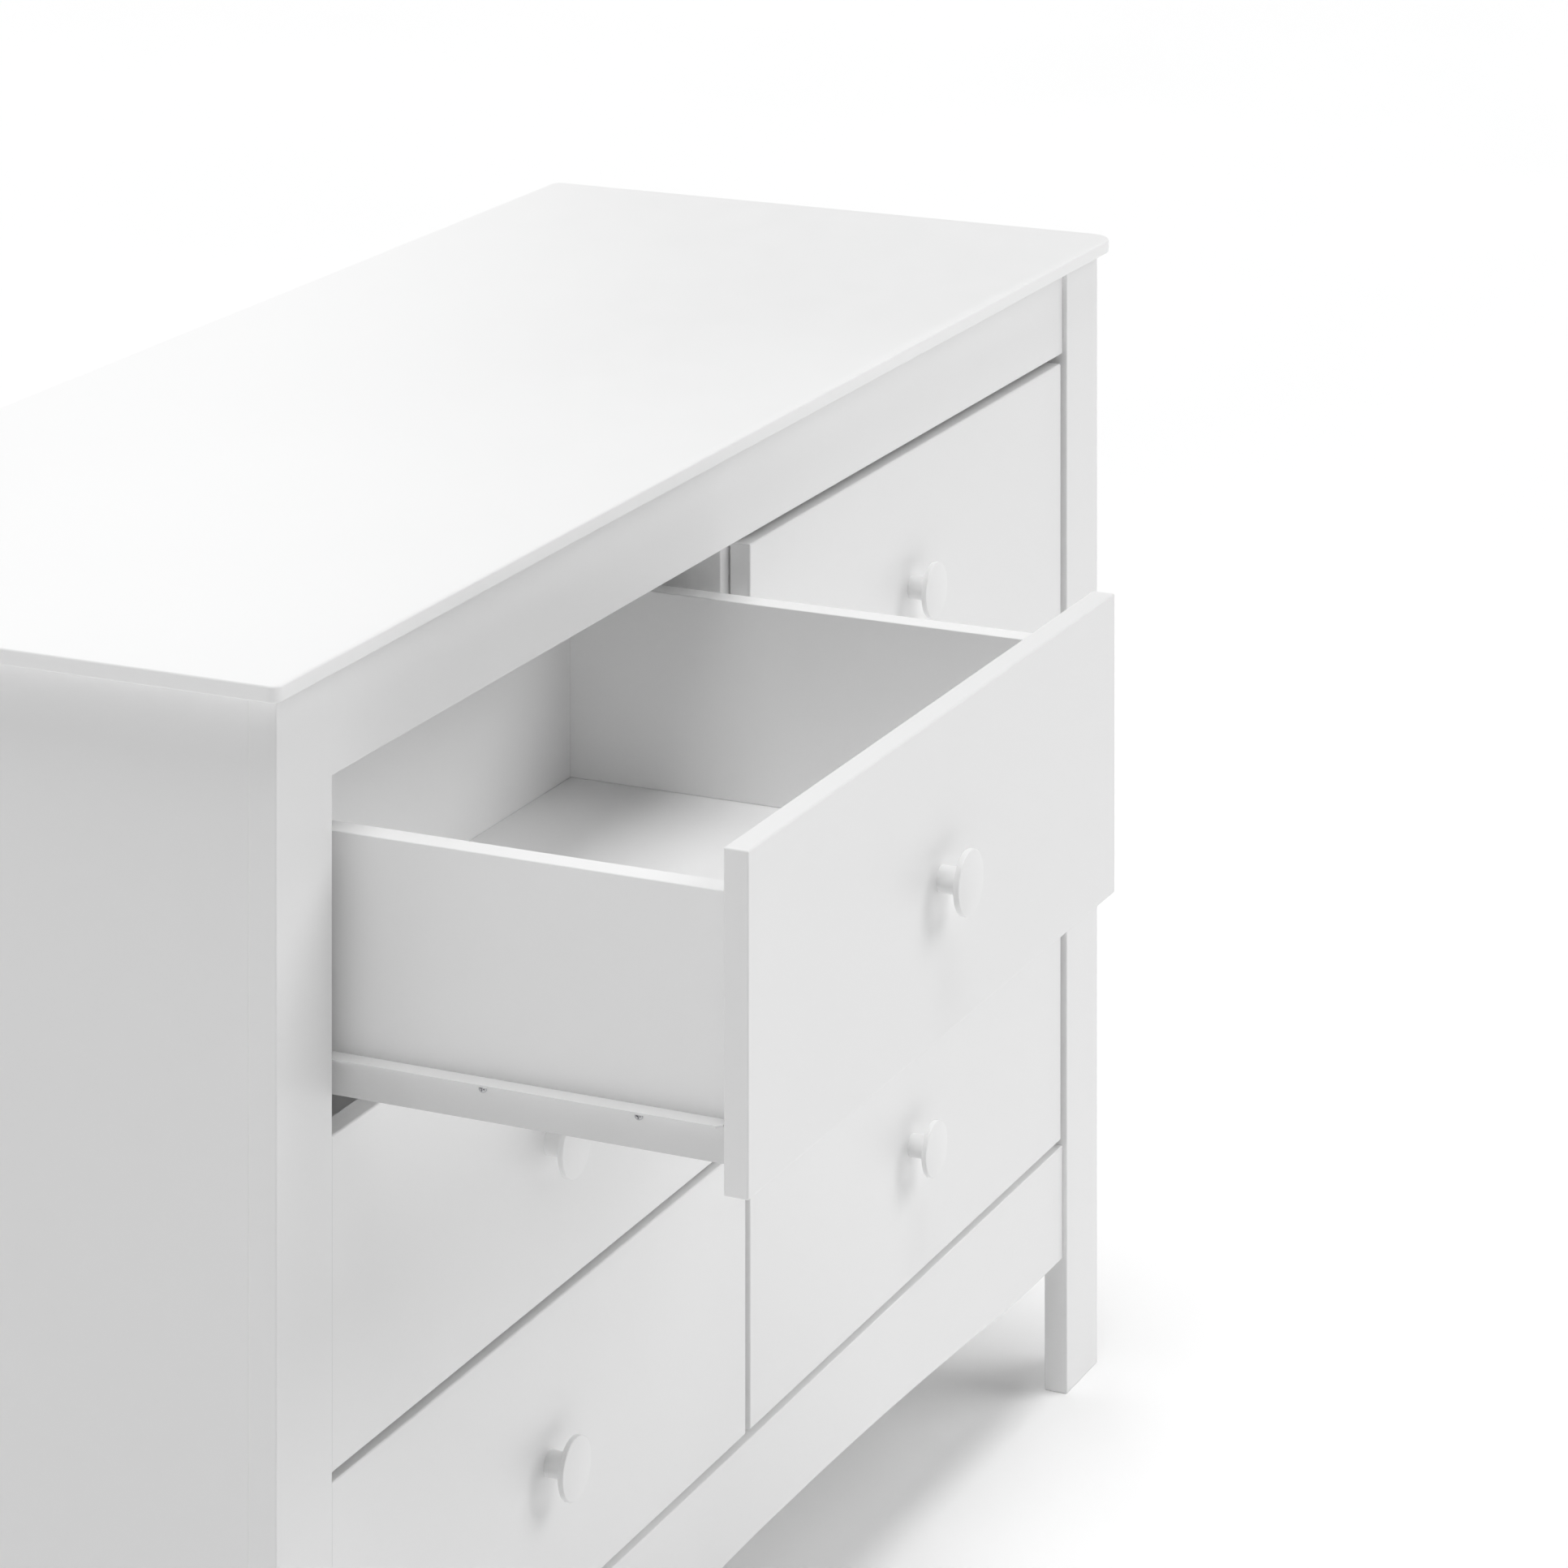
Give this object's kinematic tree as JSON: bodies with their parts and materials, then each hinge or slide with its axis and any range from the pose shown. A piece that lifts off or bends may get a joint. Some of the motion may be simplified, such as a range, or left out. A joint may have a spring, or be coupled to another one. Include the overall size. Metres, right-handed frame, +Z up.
{
  "type": "six-drawer dresser",
  "caption": "Low wide white dresser on four board legs with an arched lower rail, drawers on roller runners in two columns, and round knobs; one drawer stands open.",
  "frame": {"origin": "on the floor, in the middle of the box around the whole part as posed at rest, with the top left drawer pulled out 257 mm", "axes": "+X to the right along the front, +Y from the front to the back, +Z up"},
  "size_m": [1.2648, 0.7416, 0.848],
  "materials": {
    "painted_board": "satin white paint on board, edges lightly rounded",
    "painted_front": "satin white paint, fine spray texture",
    "painted_drawer_board": "smooth white foil, low sheen",
    "painted_hardboard": "white coated thin board",
    "painted_knob": "turned wood, satin white paint",
    "runner_steel": "white powder-coated steel",
    "roller_nylon": "natural nylon"
  },
  "bodies": {
    "case": {"top_panel": "painted_board", "left_side_panel": "painted_board", "right_side_panel": "painted_board", "front_left_leg": "painted_board", "front_right_leg": "painted_board", "rear_frame": "painted_board", "front_top_rail": "painted_board", "front_bottom_rail": "painted_board", "centre_divider": "painted_board", "back_panels": "painted_hardboard", "runner_cleats": "painted_board", "case_runners": "runner_steel"},
    "top_left_drawer": {"top_left_drawer_front": "painted_front", "top_left_drawer_sides": "painted_drawer_board", "top_left_drawer_back": "painted_drawer_board", "top_left_drawer_bottom": "painted_hardboard", "top_left_drawer_knob": "painted_knob", "top_left_drawer_runners": "runner_steel"},
    "top_left_drawer_rollers": {"top_left_drawer_rollers": "roller_nylon"},
    "top_left_case_rollers": {"top_left_case_rollers": "roller_nylon"},
    "top_right_drawer": {"top_right_drawer_front": "painted_front", "top_right_drawer_sides": "painted_drawer_board", "top_right_drawer_back": "painted_drawer_board", "top_right_drawer_bottom": "painted_hardboard", "top_right_drawer_knob": "painted_knob", "top_right_drawer_runners": "runner_steel"},
    "top_right_drawer_rollers": {"top_right_drawer_rollers": "roller_nylon"},
    "top_right_case_rollers": {"top_right_case_rollers": "roller_nylon"},
    "middle_left_drawer": {"middle_left_drawer_front": "painted_front", "middle_left_drawer_sides": "painted_drawer_board", "middle_left_drawer_back": "painted_drawer_board", "middle_left_drawer_bottom": "painted_hardboard", "middle_left_drawer_knob": "painted_knob", "middle_left_drawer_runners": "runner_steel"},
    "middle_left_drawer_rollers": {"middle_left_drawer_rollers": "roller_nylon"},
    "middle_left_case_rollers": {"middle_left_case_rollers": "roller_nylon"},
    "middle_right_drawer": {"middle_right_drawer_front": "painted_front", "middle_right_drawer_sides": "painted_drawer_board", "middle_right_drawer_back": "painted_drawer_board", "middle_right_drawer_bottom": "painted_hardboard", "middle_right_drawer_knob": "painted_knob", "middle_right_drawer_runners": "runner_steel"},
    "middle_right_drawer_rollers": {"middle_right_drawer_rollers": "roller_nylon"},
    "middle_right_case_rollers": {"middle_right_case_rollers": "roller_nylon"},
    "bottom_left_drawer": {"bottom_left_drawer_front": "painted_front", "bottom_left_drawer_sides": "painted_drawer_board", "bottom_left_drawer_back": "painted_drawer_board", "bottom_left_drawer_bottom": "painted_hardboard", "bottom_left_drawer_knob": "painted_knob", "bottom_left_drawer_runners": "runner_steel"},
    "bottom_left_drawer_rollers": {"bottom_left_drawer_rollers": "roller_nylon"},
    "bottom_left_case_rollers": {"bottom_left_case_rollers": "roller_nylon"},
    "bottom_right_drawer": {"bottom_right_drawer_front": "painted_front", "bottom_right_drawer_sides": "painted_drawer_board", "bottom_right_drawer_back": "painted_drawer_board", "bottom_right_drawer_bottom": "painted_hardboard", "bottom_right_drawer_knob": "painted_knob", "bottom_right_drawer_runners": "runner_steel"},
    "bottom_right_drawer_rollers": {"bottom_right_drawer_rollers": "roller_nylon"},
    "bottom_right_case_rollers": {"bottom_right_case_rollers": "roller_nylon"}
  },
  "joints": [
    {"name": "top_left_drawer_slide", "type": "slide", "parent": "case", "child": "top_left_drawer", "axis": [0, -1, 0], "range_m": [-0.2571, 0.0099]},
    {"name": "top_left_drawer_rollers_turn", "type": "hinge", "parent": "top_left_drawer", "child": "top_left_drawer_rollers", "pos_m": [-0.28105, 0.00045, 0.6035], "axis": [1, 0, 0], "range_deg": [-1403.9, 55]},
    {"name": "top_left_case_rollers_turn", "type": "hinge", "parent": "case", "child": "top_left_case_rollers", "pos_m": [-0.28105, -0.06475, 0.6052], "axis": [1, 0, 0], "range_deg": [-1340.2, 52.6]},
    {"name": "top_right_drawer_slide", "type": "slide", "parent": "case", "child": "top_right_drawer", "axis": [0, -1, 0], "range_m": [0, 0.267]},
    {"name": "top_right_drawer_rollers_turn", "type": "hinge", "parent": "top_right_drawer", "child": "top_right_drawer_rollers", "pos_m": [0.28105, 0.25755, 0.6035], "axis": [1, 0, 0], "range_deg": [-1, 1457.9]},
    {"name": "top_right_case_rollers_turn", "type": "hinge", "parent": "case", "child": "top_right_case_rollers", "pos_m": [0.28105, -0.06475, 0.6052], "axis": [1, 0, 0], "range_deg": [-1, 1391.7]},
    {"name": "middle_left_drawer_slide", "type": "slide", "parent": "case", "child": "middle_left_drawer", "axis": [0, -1, 0], "range_m": [0, 0.267]},
    {"name": "middle_left_drawer_rollers_turn", "type": "hinge", "parent": "middle_left_drawer", "child": "middle_left_drawer_rollers", "pos_m": [-0.28105, 0.25755, 0.4092], "axis": [1, 0, 0], "range_deg": [-1, 1457.9]},
    {"name": "middle_left_case_rollers_turn", "type": "hinge", "parent": "case", "child": "middle_left_case_rollers", "pos_m": [-0.28105, -0.06475, 0.4109], "axis": [1, 0, 0], "range_deg": [-1, 1391.7]},
    {"name": "middle_right_drawer_slide", "type": "slide", "parent": "case", "child": "middle_right_drawer", "axis": [0, -1, 0], "range_m": [0, 0.267]},
    {"name": "middle_right_drawer_rollers_turn", "type": "hinge", "parent": "middle_right_drawer", "child": "middle_right_drawer_rollers", "pos_m": [0.28105, 0.25755, 0.4092], "axis": [1, 0, 0], "range_deg": [-1, 1457.9]},
    {"name": "middle_right_case_rollers_turn", "type": "hinge", "parent": "case", "child": "middle_right_case_rollers", "pos_m": [0.28105, -0.06475, 0.4109], "axis": [1, 0, 0], "range_deg": [-1, 1391.7]},
    {"name": "bottom_left_drawer_slide", "type": "slide", "parent": "case", "child": "bottom_left_drawer", "axis": [0, -1, 0], "range_m": [0, 0.267]},
    {"name": "bottom_left_drawer_rollers_turn", "type": "hinge", "parent": "bottom_left_drawer", "child": "bottom_left_drawer_rollers", "pos_m": [-0.28105, 0.25755, 0.2149], "axis": [1, 0, 0], "range_deg": [-1, 1457.9]},
    {"name": "bottom_left_case_rollers_turn", "type": "hinge", "parent": "case", "child": "bottom_left_case_rollers", "pos_m": [-0.28105, -0.06475, 0.2166], "axis": [1, 0, 0], "range_deg": [-1, 1391.7]},
    {"name": "bottom_right_drawer_slide", "type": "slide", "parent": "case", "child": "bottom_right_drawer", "axis": [0, -1, 0], "range_m": [0, 0.267]},
    {"name": "bottom_right_drawer_rollers_turn", "type": "hinge", "parent": "bottom_right_drawer", "child": "bottom_right_drawer_rollers", "pos_m": [0.28105, 0.25755, 0.2149], "axis": [1, 0, 0], "range_deg": [-1, 1457.9]},
    {"name": "bottom_right_case_rollers_turn", "type": "hinge", "parent": "case", "child": "bottom_right_case_rollers", "pos_m": [0.28105, -0.06475, 0.2166], "axis": [1, 0, 0], "range_deg": [-1, 1391.7]}
  ],
  "couplings": [
    {"joint": "top_left_drawer_rollers_turn", "follows": "top_left_drawer_slide", "rad_per_m": 95.238},
    {"joint": "top_left_case_rollers_turn", "follows": "top_left_drawer_slide", "rad_per_m": 90.909},
    {"joint": "top_right_drawer_rollers_turn", "follows": "top_right_drawer_slide", "rad_per_m": 95.238},
    {"joint": "top_right_case_rollers_turn", "follows": "top_right_drawer_slide", "rad_per_m": 90.909},
    {"joint": "middle_left_drawer_rollers_turn", "follows": "middle_left_drawer_slide", "rad_per_m": 95.238},
    {"joint": "middle_left_case_rollers_turn", "follows": "middle_left_drawer_slide", "rad_per_m": 90.909},
    {"joint": "middle_right_drawer_rollers_turn", "follows": "middle_right_drawer_slide", "rad_per_m": 95.238},
    {"joint": "middle_right_case_rollers_turn", "follows": "middle_right_drawer_slide", "rad_per_m": 90.909},
    {"joint": "bottom_left_drawer_rollers_turn", "follows": "bottom_left_drawer_slide", "rad_per_m": 95.238},
    {"joint": "bottom_left_case_rollers_turn", "follows": "bottom_left_drawer_slide", "rad_per_m": 90.909},
    {"joint": "bottom_right_drawer_rollers_turn", "follows": "bottom_right_drawer_slide", "rad_per_m": 95.238},
    {"joint": "bottom_right_case_rollers_turn", "follows": "bottom_right_drawer_slide", "rad_per_m": 90.909}
  ]
}
